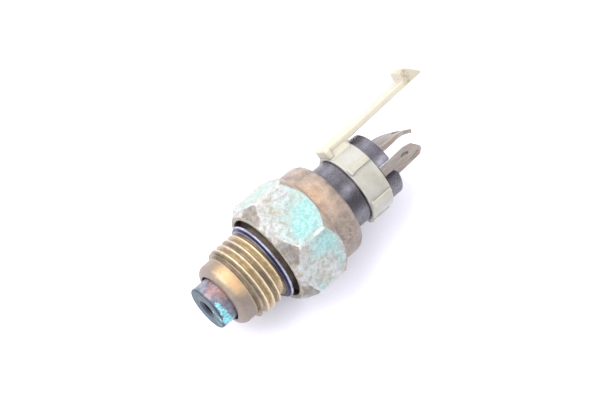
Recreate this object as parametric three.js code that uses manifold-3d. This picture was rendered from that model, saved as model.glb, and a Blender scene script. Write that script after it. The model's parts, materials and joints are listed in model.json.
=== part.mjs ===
// Screw-in plunger position switch with a brass body and a plug latch.
// Millimetres, +Z up. The switch lies on one flat of its hexagon, with its axis along +X from the
// sensing plunger (nose) to the plug terminals (tail).
//
// Pieces are drawn in switch coordinates: x is the distance s behind the plunger's front face,
// and y and z are measured from the axis. The outer group places that frame in the part's own.

import * as THREE from 'three';
import { mergeVertices } from 'three/addons/utils/BufferGeometryUtils.js';
import Module from 'manifold-3d';

// ---- Driving dimensions ----

const OVERALL_LENGTH = 64; // plunger face to the tip of the latch arm
const HEX_ACROSS_FLATS = 22;
const HEX_CORNER_R = 12.2; // the hexagon's corners are turned to this radius

const PLUNGER_R = 4.8;
const PLUNGER_FLANGE = [8.9, 10.1];
const PLUNGER_FLANGE_R = 5.6;
const STEM_R = 2;
const STEM_END = 23.4;
const STEM_CLEARANCE = 0.25;
const DIMPLE_R = 1.4;
const DIMPLE_DEPTH = 1.6;
const DIMPLE_MOUTH_R = 2.2;

const ORING_SEAT = [5.7, 7.2];
const ORING_SEAT_R = 3.85;
const ORING_WIRE_R = 0.55;

const NOSE_FRONT = 3.4;
const NOSE_ROUNDING = 1.6;
const PILOT_R = 7;
const PILOT_END = 7.1;
const GROOVE_R = 6.85;

const THREAD_R = 8; // M16 x 1.5
const THREAD_PITCH = 1.5;
const THREAD_ROOT_R = 7.08;
const THREAD_START = 7.4;
const THREAD_CREST = [8.3, 13.25]; // full-height crest, from and to
const THREAD_END = 13.5;
const THREAD_PHASE = 8 / 36; // turns of the helix at s = 0
const CREST_FLAT = 0.24;

const NECK_R = 7;
const NECK_START = 14.1;

const HEX_FRONT = 15.8;
const HEX_LAND_R = [9.3, 10.2]; // raised ring on the hexagon's front that meets the washer
const RECESS_FLOOR = 17.4;
const HEX_CORNERS = [18.3, 26.4];
const HEX_REAR = 27.4;

const COLLAR_R = 10.3;
const COLLAR_WALL = 0.9;
const LIP_CENTRE = [30.8, 8]; // s and r of the centre that the crimped lip is rolled about
const LIP_OUTSIDE_R = COLLAR_R - LIP_CENTRE[1];
const LIP_INNER_R = 7.6;

const BORE_R = 5.2;
const BORE_SHOULDER = 8.5;
const CAVITY_R = 5.9;
const CAVITY_END = 19.5;
const CHAMBER_R = 8;
const CHAMBER_END = 27.5;

const SEAT_WASHER_SPAN = [19, 19.5];
const GUIDE_SPAN = [19.85, 21.3];
const RETURN_COIL_R = 4.3;
const RETURN_WIRE_R = 0.45;
const RETURN_TURNS = 5.5;

const CARRIER_FRONT = 21.7;
const CARRIER_FLANGE = 22.3;
const CARRIER_FLANGE_R = 4.6;
const CARRIER_END = 25.5;
const CARRIER_R = 2.9;
const BRIDGE_SPAN = [23.9, 24.5];
const BRIDGE_DISC_R = 4.2;
const BRIDGE_ARM = [12.4, 3.6]; // length and width
const BRIDGE_WIRE_R = 0.2;
const PAD_THICKNESS = 0.4;
const PAD_R = 1.2;
const CLIP_SPAN = [24.65, 25.1];

const WASHER_R = [7.35, 8.7];
const WASHER_SPAN = [13.95, 15.1];

const BASE_FRONT = 28.9;
const BASE_FLANGE_R = 9.2;
const HEAD_R = 7.25;
const RING_SEAT_R = 7;
const RING_SPAN = [37.3, 42.8];
const HEAD_FLOOR = 42;
const HEAD_END = 46.2;
const HEAD_WALL_R = [5.6, 7.2];
const WALL_SLOT_ANGLE = 38;
const WALL_SLOT_WIDTH = 3.1;

const BLADE_ANGLE = 43; // degrees from +Z toward -Y to the blades' width direction
const BLADE_WIDTH = 6.3;
const BLADE_THICKNESS = 0.8;
const BLADE_OFFSET = 2.9;
const BLADE_HOLE_R = 0.875;
const BLADE_TIP_CHAMFER = [1.5, 1.3]; // along and across the blade
const FOOT_S = 28.35;
const FOOT_REACH = 6.1;
const HOLE_FROM_TIP = 3.1;
const NEAR_BEND = [46.6, 8.4, 6]; // where the blade's bend starts, its length, its angle inward
const FAR_BEND = [50.4, 5, 38];

const BUTTON_OFFSET = 4.65;
const BUTTON_HEAD = [27.2, 27.8];
const BUTTON_R = 1.25;
const BUTTON_SHANK_R = 0.7;
const BUTTON_SHANK = 0.9;

const RING_R = [7.2, 7.9];
const RIB_R = 8.4;
const RIB_WIDTH = 1.6;
const RIB_ANGLES = [3, 63, 123, 183, 243];

const ARM_ANGLE = -56;
const ARM_WIDTH = 4.5;
const ARM_THICKNESS = 1.4;
const ARM_START = 43.2;
const ARM_INNER_R = [8.2, 9];
const ARM_TIP_THICKNESS = 0.5;
const BARB_START = 59.5;
const BARB_FLAT = 1.8;
const BARB_RISE = 1.75;

const BODY_STEPS = 36; // a multiple of 12, so that the hexagon's corners fall on steps
const INNER_STEPS = 30;
const SMALL_STEPS = 20;

// ---- Materials ----

function material(color, roughness, metalness) {
  return new THREE.MeshStandardMaterial({ color, roughness, metalness });
}

const agedBrass = material('#b9a877', 0.55, 0.85);
const plungerSteel = material('#8d959c', 0.35, 0.9);
const washerSteel = material('#5d6378', 0.4, 0.85);
const springSteel = material('#a7a9ac', 0.3, 0.95);
const tinnedBrass = material('#a39b93', 0.45, 0.85);
const copper = material('#b8704a', 0.35, 0.95);
const silver = material('#d4d4d6', 0.25, 0.95);
const blackPhenolic = material('#1b191c', 0.38, 0);
const brownLaminate = material('#7a4a2b', 0.7, 0);
const creamNylon = material('#e6dcb9', 0.45, 0);
const rubber = material('#222222', 0.85, 0);

// ---- Shape helpers ----

const wasm = await Module();
wasm.setup();

function radians(degrees) {
  return THREE.MathUtils.degToRad(degrees);
}

// Closed three.js geometry to a manifold solid.
function toSolid(geometry) {
  const bare = geometry.clone();
  bare.deleteAttribute('normal');
  bare.deleteAttribute('uv');
  const merged = mergeVertices(bare, 1e-4);
  return new wasm.Manifold(new wasm.Mesh({
    numProp: 3,
    vertProperties: new Float32Array(merged.attributes.position.array),
    triVerts: new Uint32Array(merged.index.array),
  }));
}

function toGeometry(solid) {
  const mesh = solid.getMesh();
  const geometry = new THREE.BufferGeometry();
  geometry.setAttribute('position', new THREE.BufferAttribute(mesh.vertProperties, 3));
  geometry.setIndex(new THREE.BufferAttribute(mesh.triVerts, 1));
  return geometry;
}

function cut(geometry, ...cutters) {
  let solid = toSolid(geometry);
  for (const cutter of cutters) {
    solid = solid.subtract(toSolid(cutter));
  }
  return toGeometry(solid);
}

function join(...geometries) {
  const [first, ...others] = geometries.map(toSolid);
  return toGeometry(others.reduce((whole, solid) => whole.add(solid), first));
}

function common(a, b) {
  return toGeometry(toSolid(a).intersect(toSolid(b)));
}

// Turned shape: a closed outline of [s, r] points spun about the X axis.
function turned(outline, steps = BODY_STEPS) {
  const points = outline.map(([s, r]) => new THREE.Vector2(r, s));
  if (THREE.ShapeUtils.area(points) < 0) {
    points.reverse();
  }
  if (!points[0].equals(points.at(-1))) {
    points.push(points[0].clone());
  }
  return new THREE.LatheGeometry(points, steps).rotateZ(-Math.PI / 2);
}

// Rod or ring with square edges between two distances.
function tube([front, rear], innerR, outerR, steps = INNER_STEPS) {
  return turned([[front, innerR], [front, outerR], [rear, outerR], [rear, innerR]], steps);
}

// Points on an arc about [s, r], from one angle to another, measured from +s toward +r.
function arc([s, r], radius, fromDegrees, toDegrees, steps) {
  return Array.from({ length: steps + 1 }, (_, i) => {
    const angle = radians(fromDegrees + (toDegrees - fromDegrees) * i / steps);
    return [s + radius * Math.cos(angle), r + radius * Math.sin(angle)];
  });
}

// Torus about the X axis.
function torus(s, ringR, wireR) {
  return new THREE.TorusGeometry(ringR, wireR, 6, SMALL_STEPS + 4).rotateY(Math.PI / 2).translate(s, 0, 0);
}

// Outline of [s, up] points drawn in the XZ plane and given a width along Y.
function sidePlate(outline, width) {
  const shape = new THREE.Shape(outline.map(([s, up]) => new THREE.Vector2(s, up)));
  return new THREE.ExtrudeGeometry(shape, { depth: width, bevelEnabled: false, curveSegments: 8 })
    .translate(0, 0, -width / 2)
    .rotateX(Math.PI / 2);
}

function block([s0, s1], [y0, y1], [z0, z1]) {
  return new THREE.BoxGeometry(s1 - s0, y1 - y0, z1 - z0)
    .translate((s0 + s1) / 2, (y0 + y1) / 2, (z0 + z1) / 2);
}

// Convex section swept along a helix about the X axis. sectionAt(turn) gives the section's [s, r]
// points, from high s over the top to low s, with s measured from the helix's own advance.
function helix(sectionAt, startTurn, endTurn, pitch, stepsPerTurn) {
  const stations = Math.round((endTurn - startTurn) * stepsPerTurn);
  const positions = [];
  for (let i = 0; i <= stations; i += 1) {
    const turn = startTurn + (endTurn - startTurn) * i / stations;
    const angle = 2 * Math.PI * turn;
    for (const [s, r] of sectionAt(turn)) {
      positions.push(pitch * turn + s, -r * Math.sin(angle), r * Math.cos(angle));
    }
  }
  const sides = sectionAt(startTurn).length;
  const faces = [];
  for (let i = 0; i < stations; i += 1) {
    for (let j = 0; j < sides; j += 1) {
      const a = i * sides + j;
      const b = i * sides + (j + 1) % sides;
      faces.push(a, b, a + sides, b, b + sides, a + sides);
    }
  }
  const last = stations * sides;
  for (let j = 1; j < sides - 1; j += 1) {
    faces.push(0, j + 1, j, last, last + j, last + j + 1);
  }
  const geometry = new THREE.BufferGeometry();
  geometry.setAttribute('position', new THREE.Float32BufferAttribute(positions, 3));
  geometry.setIndex(faces);
  return geometry;
}

// Coil spring of round wire between two distances.
function coil([front, rear], meanR, wireR, turns, sides, stepsPerTurn) {
  const pitch = (rear - front - 2 * wireR) / turns;
  const section = () => Array.from({ length: sides }, (_, j) => {
    const angle = -2 * Math.PI * j / sides;
    return [front + wireR + wireR * Math.sin(angle), meanR + wireR * Math.cos(angle)];
  });
  return helix(section, 0, turns, pitch, stepsPerTurn);
}

// ---- Brass body ----

function bodyCore() {
  return turned([
    [NOSE_FRONT, 0],
    ...arc([NOSE_FRONT + NOSE_ROUNDING, PILOT_R - NOSE_ROUNDING], NOSE_ROUNDING, 180, 90, 4),
    [PILOT_END, PILOT_R],
    [PILOT_END, GROOVE_R],
    [THREAD_START, GROOVE_R],
    [THREAD_START, THREAD_ROOT_R],
    [NECK_START, THREAD_ROOT_R],
    [NECK_START, NECK_R],
    [RECESS_FLOOR + 1, NECK_R],
    [RECESS_FLOOR + 1, COLLAR_R],
    ...arc(LIP_CENTRE, LIP_OUTSIDE_R, 90, 0, 5),
    [LIP_CENTRE[0] + LIP_OUTSIDE_R, 0],
  ]);
}

// The ridge rises from a low start and fades to a low end.
function threadRidge() {
  const sunkR = THREAD_ROOT_R - 0.12;
  const slope = Math.tan(radians(30));
  const section = (turn) => {
    const s = THREAD_PITCH * turn;
    const rise = THREE.MathUtils.smoothstep(s, THREAD_START + 0.3, THREAD_CREST[0]);
    const fall = 1 - THREE.MathUtils.smoothstep(s, THREAD_CREST[1], THREAD_END);
    const crestR = THREE.MathUtils.lerp(THREAD_ROOT_R + 0.1, THREAD_R, rise * fall);
    const half = CREST_FLAT / 2 + slope * (crestR - sunkR);
    return [[half, sunkR], [CREST_FLAT / 2, crestR], [-CREST_FLAT / 2, crestR], [-half, sunkR]];
  };
  const wholeSteps = (s) => Math.round(s / THREAD_PITCH * BODY_STEPS) / BODY_STEPS;
  return helix(section, wholeSteps(THREAD_START + 0.3), wholeSteps(THREAD_END), THREAD_PITCH, BODY_STEPS)
    .rotateX(2 * Math.PI * THREAD_PHASE);
}

function hexagon() {
  const prism = new THREE.CylinderGeometry(
    HEX_ACROSS_FLATS / Math.sqrt(3), HEX_ACROSS_FLATS / Math.sqrt(3), HEX_REAR - HEX_FRONT, 6,
  ).rotateZ(-Math.PI / 2).rotateX(Math.PI / 6).translate((HEX_FRONT + HEX_REAR) / 2, 0, 0);
  const turning = turned([
    [HEX_FRONT, 0],
    [HEX_FRONT, HEX_LAND_R[1]],
    [HEX_CORNERS[0], HEX_CORNER_R],
    [HEX_CORNERS[1], HEX_CORNER_R],
    [HEX_REAR, COLLAR_R + 0.4],
    [HEX_REAR, 0],
  ]);
  const recess = tube([HEX_FRONT - 1, RECESS_FLOOR], NECK_R - 1, HEX_LAND_R[0], BODY_STEPS);
  return cut(common(prism, turning), recess);
}

function bodyBore() {
  const lipInsideR = LIP_OUTSIDE_R - COLLAR_WALL;
  return turned([
    [NOSE_FRONT - 1, 0],
    [NOSE_FRONT - 1, BORE_R],
    [BORE_SHOULDER, BORE_R],
    [BORE_SHOULDER, CAVITY_R],
    [CAVITY_END, CAVITY_R],
    [CAVITY_END, CHAMBER_R],
    [CHAMBER_END, CHAMBER_R],
    [CHAMBER_END, COLLAR_R - COLLAR_WALL],
    ...arc(LIP_CENTRE, lipInsideR, 90, 0, 5),
    [LIP_CENTRE[0] + lipInsideR, LIP_INNER_R],
    [LIP_CENTRE[0] + 4, LIP_INNER_R],
    [LIP_CENTRE[0] + 4, 0],
  ]);
}

function brassBody() {
  return cut(join(bodyCore(), hexagon(), threadRidge()), bodyBore());
}

// Folded steel washer, loose on the neck, with a groove where its two leaves meet.
function sealingWasher() {
  const [front, rear] = WASHER_SPAN;
  const [inner, outer] = WASHER_R;
  const leaf = inner + 0.7;
  return turned([
    [front + 0.15, inner],
    [front, inner + 0.2],
    [front, leaf],
    [front + 0.45, leaf],
    [front + 0.45, outer - 0.2],
    [front + 0.6, outer],
    [rear - 0.2, outer],
    [rear, outer - 0.2],
    [rear, inner + 0.2],
    [rear - 0.15, inner],
  ]);
}

// ---- Plunger and what rides on it ----

function plunger() {
  return turned([
    [DIMPLE_DEPTH, 0],
    [DIMPLE_DEPTH - 0.4, DIMPLE_R],
    [0.6, DIMPLE_R],
    [0, DIMPLE_MOUTH_R],
    [0, PLUNGER_R - 0.3],
    [0.3, PLUNGER_R],
    [ORING_SEAT[0], PLUNGER_R],
    [ORING_SEAT[0], ORING_SEAT_R],
    [ORING_SEAT[1], ORING_SEAT_R],
    [ORING_SEAT[1], PLUNGER_R],
    [PLUNGER_FLANGE[0], PLUNGER_R],
    [PLUNGER_FLANGE[0], PLUNGER_FLANGE_R],
    [PLUNGER_FLANGE[1], PLUNGER_FLANGE_R],
    [PLUNGER_FLANGE[1], STEM_R],
    [STEM_END, STEM_R],
    [STEM_END, 0],
  ], INNER_STEPS);
}

function plungerOring() {
  const middle = (ORING_SEAT[0] + ORING_SEAT[1]) / 2;
  return torus(middle, ORING_SEAT_R + 0.15 + ORING_WIRE_R, ORING_WIRE_R);
}

// Insulating spool on the stem's end. Its blind socket takes the stem, its groove takes the clip.
function contactCarrier() {
  const socketR = STEM_R + 0.15;
  return turned([
    [CARRIER_FRONT, socketR],
    [CARRIER_FRONT, CARRIER_FLANGE_R],
    [CARRIER_FLANGE, CARRIER_FLANGE_R],
    [CARRIER_FLANGE, CARRIER_R],
    [CLIP_SPAN[0] - 0.05, CARRIER_R],
    [CLIP_SPAN[0] - 0.05, CARRIER_R - 0.5],
    [CLIP_SPAN[1] + 0.05, CARRIER_R - 0.5],
    [CLIP_SPAN[1] + 0.05, CARRIER_R],
    [CARRIER_END, CARRIER_R],
    [CARRIER_END, 0],
    [STEM_END + 0.3, 0],
    [STEM_END + 0.3, socketR],
  ], SMALL_STEPS);
}

function contactSpring() {
  const span = [CARRIER_FLANGE + 0.12, BRIDGE_SPAN[0] - 0.12];
  return coil(span, CARRIER_R + 0.55, BRIDGE_WIRE_R, 2, 5, 16);
}

// Round copper plate with two arms that carry the moving contacts.
function contactBridge() {
  const [front, rear] = BRIDGE_SPAN;
  const [length, width] = BRIDGE_ARM;
  const disc = tube(BRIDGE_SPAN, 0, BRIDGE_DISC_R, SMALL_STEPS);
  const arms = block(BRIDGE_SPAN, [-length / 2, length / 2], [-width / 2, width / 2])
    .rotateX(radians(BLADE_ANGLE));
  const hole = tube([front - 1, rear + 1], 0, CARRIER_R + 0.15, SMALL_STEPS);
  return cut(join(disc, arms), hole);
}

function contactPad(side) {
  const front = BRIDGE_SPAN[1] + 0.1;
  return tube([front, front + PAD_THICKNESS], 0, PAD_R, SMALL_STEPS)
    .translate(0, side * BUTTON_OFFSET, 0);
}

function bridgeClip() {
  return tube(CLIP_SPAN, CARRIER_R - 0.4, CARRIER_R + 0.3, SMALL_STEPS);
}

// ---- Spring, guide and insulation inside the body ----

function returnSpring() {
  const span = [PLUNGER_FLANGE[1] + 0.2, SEAT_WASHER_SPAN[0] - 0.2];
  return coil(span, RETURN_COIL_R, RETURN_WIRE_R, RETURN_TURNS, 5, 14);
}

function springSeatWasher() {
  return tube(SEAT_WASHER_SPAN, STEM_R + STEM_CLEARANCE, CAVITY_R - 0.3);
}

function guidePlate() {
  return tube(GUIDE_SPAN, STEM_R + STEM_CLEARANCE, CHAMBER_R - 0.2);
}

function insulatingSleeve() {
  return tube([GUIDE_SPAN[1] + 0.3, CHAMBER_END - 0.1], CHAMBER_R - 0.95, CHAMBER_R - 0.15);
}

function baseGasket() {
  return tube([CHAMBER_END + 0.15, BASE_FRONT - 0.15], CHAMBER_R + 0.1, BASE_FLANGE_R);
}

// ---- Terminals and their base ----

// Closed outline of a bent strip, from the points of its middle line.
function stripOutline(line, thickness) {
  const sides = [1, -1].map((sign) => line.map((point, i) => {
    const before = line[Math.max(i - 1, 0)];
    const after = line[Math.min(i + 1, line.length - 1)];
    const into = new THREE.Vector2(...point).sub(new THREE.Vector2(...before)).normalize();
    const out = new THREE.Vector2(...after).sub(new THREE.Vector2(...point)).normalize();
    const along = into.add(out).normalize();
    const legs = i > 0 && i < line.length - 1;
    const mitre = legs ? along.dot(out) : 1;
    const reach = sign * thickness / 2 / mitre;
    return [point[0] - along.y * reach, point[1] + along.x * reach];
  }));
  return [...sides[0], ...sides[1].reverse()];
}

// Flat face outline of a blade: full width, chamfered at the tip.
function bladeFace(tip) {
  const half = BLADE_WIDTH / 2;
  const [along, across] = BLADE_TIP_CHAMFER;
  const start = FOOT_S - BLADE_THICKNESS;
  return sidePlate([
    [start, -half], [tip - along, -half], [tip, across - half],
    [tip, half - across], [tip - along, half], [start, half],
  ], 4 * BLADE_OFFSET + 4);
}

// The strip's foot lies on the base's front face and carries a contact button. The blade is
// drawn on the +Y side of the axis, with its width along Z, and bends toward or away from the axis
// a little more at each step from the bend's start to the tip.
function terminal([bendStart, bendLength, bendAngle]) {
  const line = [[FOOT_S, FOOT_REACH], [FOOT_S, BLADE_OFFSET], [bendStart, BLADE_OFFSET]];
  const steps = 6;
  for (let i = 1; i <= steps; i += 1) {
    const [s, y] = line.at(-1);
    const angle = radians(bendAngle * i / steps);
    const step = bendLength / steps;
    line.push([s + step * Math.cos(angle), y - step * Math.sin(angle)]);
  }
  const [tip] = line.at(-1);
  const strip = sidePlate(stripOutline(line, BLADE_THICKNESS), BLADE_WIDTH).rotateX(-Math.PI / 2);
  const detentHole = new THREE.CylinderGeometry(BLADE_HOLE_R, BLADE_HOLE_R, 4 * BLADE_OFFSET, 16)
    .translate(tip - HOLE_FROM_TIP, 0, 0);
  const buttonHole = tube([FOOT_S - 2, FOOT_S + 2], 0, BUTTON_SHANK_R + 0.15, 16)
    .translate(0, BUTTON_OFFSET, 0);
  return cut(common(strip, bladeFace(tip)), detentHole, buttonHole);
}

function contactButton() {
  const [front, rear] = BUTTON_HEAD;
  return turned([
    [front, 0],
    [front, BUTTON_R - 0.2],
    [front + 0.2, BUTTON_R],
    [rear, BUTTON_R],
    [rear, BUTTON_SHANK_R],
    [rear + BUTTON_SHANK, BUTTON_SHANK_R],
    [rear + BUTTON_SHANK, 0],
  ], 16);
}

// Black moulding: flange under the crimped lip, round head, ring seat and two curved end walls.
function terminalBase() {
  const [innerR, outerR] = HEAD_WALL_R;
  const shoulderR = BASE_FLANGE_R - LIP_CENTRE[1];
  const body = turned([
    [BASE_FRONT, 0],
    [BASE_FRONT, BASE_FLANGE_R],
    ...arc(LIP_CENTRE, shoulderR, 90, 0, 4),
    [LIP_CENTRE[0] + shoulderR, HEAD_R],
    [RING_SPAN[0] - 0.1, HEAD_R],
    [RING_SPAN[0] - 0.1, RING_SEAT_R],
    [RING_SPAN[1] + 0.1, RING_SEAT_R],
    [RING_SPAN[1] + 0.3, outerR],
    [HEAD_END - 0.4, outerR],
    [HEAD_END, outerR - 0.4],
    [HEAD_END, innerR],
    [HEAD_FLOOR, innerR],
    [HEAD_FLOOR, 0],
  ]);
  const half = BLADE_WIDTH / 2 + 0.15;
  const bladeSlots = [-BLADE_OFFSET, BLADE_OFFSET].map((offset) => block(
    [BASE_FRONT - 1, HEAD_END],
    [offset - BLADE_THICKNESS / 2 - 0.1, offset + BLADE_THICKNESS / 2 + 0.1],
    [-half, half],
  ).rotateX(radians(BLADE_ANGLE)));
  const wallSlot = block(
    [HEAD_FLOOR + 0.8, HEAD_END + 1],
    [-WALL_SLOT_WIDTH / 2, WALL_SLOT_WIDTH / 2],
    [-outerR - 1, outerR + 1],
  ).rotateX(radians(WALL_SLOT_ANGLE));
  return cut(body, ...bladeSlots, wallSlot);
}

// ---- Latch ring and arm ----

function latchRing() {
  const band = tube(RING_SPAN, RING_R[0], RING_R[1], BODY_STEPS);
  const middle = (RING_R[0] + RING_R[1]) / 2;
  const ribs = RIB_ANGLES.map((angle) => block(
    [RING_SPAN[0] + 0.2, RING_SPAN[1] - 0.2],
    [-RIB_WIDTH / 2, RIB_WIDTH / 2],
    [middle, RIB_R],
  ).rotateX(radians(angle)));
  const armRoot = block(
    RING_SPAN,
    [-ARM_WIDTH / 2, ARM_WIDTH / 2],
    [middle, ARM_INNER_R[0] + ARM_THICKNESS],
  ).rotateX(radians(ARM_ANGLE));
  const bore = tube([RING_SPAN[0] - 1, RING_SPAN[1] + 1], 0, RING_R[0], BODY_STEPS);
  return cut(join(band, ...ribs, armRoot), bore);
}

// Springy arm that leans out a little and ends in a barb that catches the plug.
function latchArm() {
  const leanAt = (s) => THREE.MathUtils.mapLinear(s, ARM_START, OVERALL_LENGTH, ...ARM_INNER_R);
  const barbFoot = leanAt(BARB_START) + ARM_THICKNESS;
  return sidePlate([
    [ARM_START, leanAt(ARM_START)],
    [OVERALL_LENGTH, leanAt(OVERALL_LENGTH)],
    [OVERALL_LENGTH, leanAt(OVERALL_LENGTH) + ARM_TIP_THICKNESS],
    [BARB_START + BARB_FLAT, barbFoot + BARB_RISE],
    [BARB_START, barbFoot + BARB_RISE],
    [BARB_START, barbFoot],
    [ARM_START, leanAt(ARM_START) + ARM_THICKNESS],
  ], ARM_WIDTH);
}

// ---- Scene graph ----

function piece(name, geometry, surface) {
  const mesh = new THREE.Mesh(geometry, surface);
  mesh.name = name;
  return mesh;
}

function group(angle, ...children) {
  const holder = new THREE.Group();
  holder.rotation.x = radians(angle);
  holder.add(...children);
  return holder;
}

// A contact button, moved out to its place on the +Y or -Y terminal.
function placedButton(name, side) {
  const button = piece(name, contactButton(), silver);
  button.position.y = side * BUTTON_OFFSET;
  return button;
}

const plungerGroup = group(0,
  piece('plunger', plunger(), plungerSteel),
  piece('plunger_oring', plungerOring(), rubber),
  piece('contact_carrier', contactCarrier(), brownLaminate),
  piece('contact_spring', contactSpring(), springSteel),
  piece('contact_bridge', contactBridge(), copper),
  piece('bridge_clip', bridgeClip(), springSteel),
);

const contactGroup = group(BLADE_ANGLE,
  piece('terminal_near', terminal(NEAR_BEND).rotateX(Math.PI), tinnedBrass),
  piece('terminal_far', terminal(FAR_BEND), tinnedBrass),
  placedButton('contact_button_near', -1),
  placedButton('contact_button_far', 1),
  piece('contact_pad_near', contactPad(-1), silver),
  piece('contact_pad_far', contactPad(1), silver),
);

const sensor = group(0,
  piece('brass_body', brassBody(), agedBrass),
  piece('sealing_washer', sealingWasher(), washerSteel),
  piece('return_spring', returnSpring(), springSteel),
  piece('spring_seat_washer', springSeatWasher(), springSteel),
  piece('guide_plate', guidePlate(), brownLaminate),
  piece('insulating_sleeve', insulatingSleeve(), brownLaminate),
  piece('base_gasket', baseGasket(), rubber),
  piece('terminal_base', terminalBase(), blackPhenolic),
  piece('latch_ring', latchRing(), creamNylon),
  group(ARM_ANGLE, piece('latch_arm', latchArm(), creamNylon)),
  plungerGroup,
  contactGroup,
);
sensor.position.set(-OVERALL_LENGTH / 2, 0, HEX_ACROSS_FLATS / 2);

const part = new THREE.Group();
part.add(sensor);

export default part;
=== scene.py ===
"""Looks for the screw-in plunger switch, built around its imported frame.

Shapes are drawn in switch coordinates, in millimetres: s runs back along the axis from the plunger's
face, r is the distance from the axis, and psi is the angle about the axis from +Z toward -Y.
"""
import json
import math
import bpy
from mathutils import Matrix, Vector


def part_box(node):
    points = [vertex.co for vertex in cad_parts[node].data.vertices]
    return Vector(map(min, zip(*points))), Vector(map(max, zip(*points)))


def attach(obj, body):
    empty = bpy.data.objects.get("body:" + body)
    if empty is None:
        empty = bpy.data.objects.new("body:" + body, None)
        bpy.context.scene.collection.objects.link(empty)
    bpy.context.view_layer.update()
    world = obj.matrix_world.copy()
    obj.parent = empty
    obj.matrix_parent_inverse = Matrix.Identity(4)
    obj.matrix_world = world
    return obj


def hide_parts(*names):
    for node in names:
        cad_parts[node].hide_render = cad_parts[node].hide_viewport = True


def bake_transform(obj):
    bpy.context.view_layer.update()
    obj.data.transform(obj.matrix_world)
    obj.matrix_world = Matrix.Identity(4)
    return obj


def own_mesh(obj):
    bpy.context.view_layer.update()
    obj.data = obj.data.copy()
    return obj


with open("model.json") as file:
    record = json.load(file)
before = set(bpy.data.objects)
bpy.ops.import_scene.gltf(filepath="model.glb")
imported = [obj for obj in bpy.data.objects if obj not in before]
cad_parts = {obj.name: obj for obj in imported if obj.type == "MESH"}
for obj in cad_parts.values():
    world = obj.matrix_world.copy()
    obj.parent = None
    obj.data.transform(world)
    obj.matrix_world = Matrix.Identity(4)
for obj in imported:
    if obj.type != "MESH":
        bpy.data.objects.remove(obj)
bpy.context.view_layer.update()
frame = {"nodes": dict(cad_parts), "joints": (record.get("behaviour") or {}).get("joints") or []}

from types import SimpleNamespace

import bmesh
import bpy
import numpy as np
from mathutils import Matrix, Vector, noise

MM = 0.001
NOSE_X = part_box("plunger")[0].x
AXIS_Z = (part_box("brass_body")[0].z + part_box("brass_body")[1].z) / 2

BODY_TURN = 240  # steps round the brass body
FINE_TURN = 160  # steps round the other turned pieces

NOSE_S, NOSE_END_S, NOSE_R, NOSE_BORE_R = 3.4, 7.0, 7.0, 5.2
THREAD_S0, THREAD_S1 = 7.5, 14.0
THREAD_R, THREAD_ROOT_R, THREAD_PITCH = 8.0, 7.08, 1.5
THREAD_RISE, THREAD_FALL = (7.6, 8.2), (13.3, 13.6)  # where the ridge runs in and out
CREST_S, CREST_PSI = 8.75, 19.0  # one point on the thread's crest line
NECK_R = 7.0
RECESS_FLOOR_S, RECESS_R = 17.4, 9.25
HEX_FLAT_R, HEX_BAR_R = 11.0, 12.4  # to the flats, and to the turned bar at the corners
HEX_FRONT_S, HEX_FRONT_R, FRONT_SLOPE = 15.8, 10.2, 1.18  # the front chamfer's start, mm back per mm out
HEX_REAR_S, HEX_REAR_R, REAR_SLOPE = 27.3, 10.9, 1.2  # the rear chamfer's end, mm back per mm in
COLLAR_R, BODY_END_S = 10.3, 33.1

PLUNGER_R, PLUNGER_FLANGE_R, PLUNGER_STEM_R, PLUNGER_END_S = 4.8, 5.6, 2.0, 23.4
HEAD_R, RING_SEAT_R, HEAD_FACE_S, WALL_INSIDE_R = 7.25, 7.0, 42.0, 5.6
BLADE_PSI, BLADE_OFFSET, BLADE_HALF, BLADE_THICKNESS = 43.0, 2.9, 3.15, 0.8
BLADE_FOOT_S, BLADE_HOLE_R, HOLE_FROM_TIP = 28.0, 0.875, 3.1
RING_INSIDE_R, RING_R = 7.2, 7.9
ARM_PSI, ARM_HALF_WIDTH, ARM_THICKNESS = -56.0, 2.25, 1.4
ARM_INSIDE_R, ARM_RISE = 8.2, 0.8  # at the ring, and how much farther out at the tip
BARB_S, BARB_FLAT, BARB_HEIGHT = 59.5, 1.8, 1.75


def node_span(node):
    """A CAD node's first and last distance along the axis, in millimetres."""
    low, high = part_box(node)
    return (low.x - NOSE_X) / MM, (high.x - NOSE_X) / MM


RING_S0, RING_S1 = node_span("latch_ring")
ARM_S0, ARM_S1 = node_span("latch_arm")
HEAD_END = node_span("terminal_base")[1]


# ---- Numbers and noise ----

def smooth(x, low, high):
    """0 at low and 1 at high with a soft step between. Low may be the larger of the two."""
    t = np.clip((x - low) / (high - low), 0, 1)
    return t * t * (3 - 2 * t)


def fractal(points, size, octaves=4, offset=0.0):
    """Fractal noise of about -1 to 1 at each point, with features of that size in mm."""
    shift = Vector((offset, offset * 1.7, offset * 0.6))
    return np.array([
        noise.fractal(Vector(p) / size + shift, 1.0, 2.0, octaves) for p in points
    ])


def angle_between(psi, centre):
    """Signed difference of two angles in degrees, from -180 to 180."""
    return (psi - centre + 180) % 360 - 180


def blob(s, psi, s_at, psi_at, s_size, psi_size):
    """A soft patch, 1 at its middle."""
    return np.exp(-((s - s_at) / s_size) ** 2 - (angle_between(psi, psi_at) / psi_size) ** 2)


def patches(s, psi, *spots):
    """The sum of soft patches, each (strength, s, psi, size along, size round)."""
    return sum(strength * blob(s, psi, *spot) for strength, *spot in spots)


def polar(points):
    """s, r and psi of switch-coordinate points."""
    return (
        points[:, 0],
        np.hypot(points[:, 1], points[:, 2]),
        np.degrees(np.arctan2(-points[:, 1], points[:, 2])),
    )


# ---- Outlines ----

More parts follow.
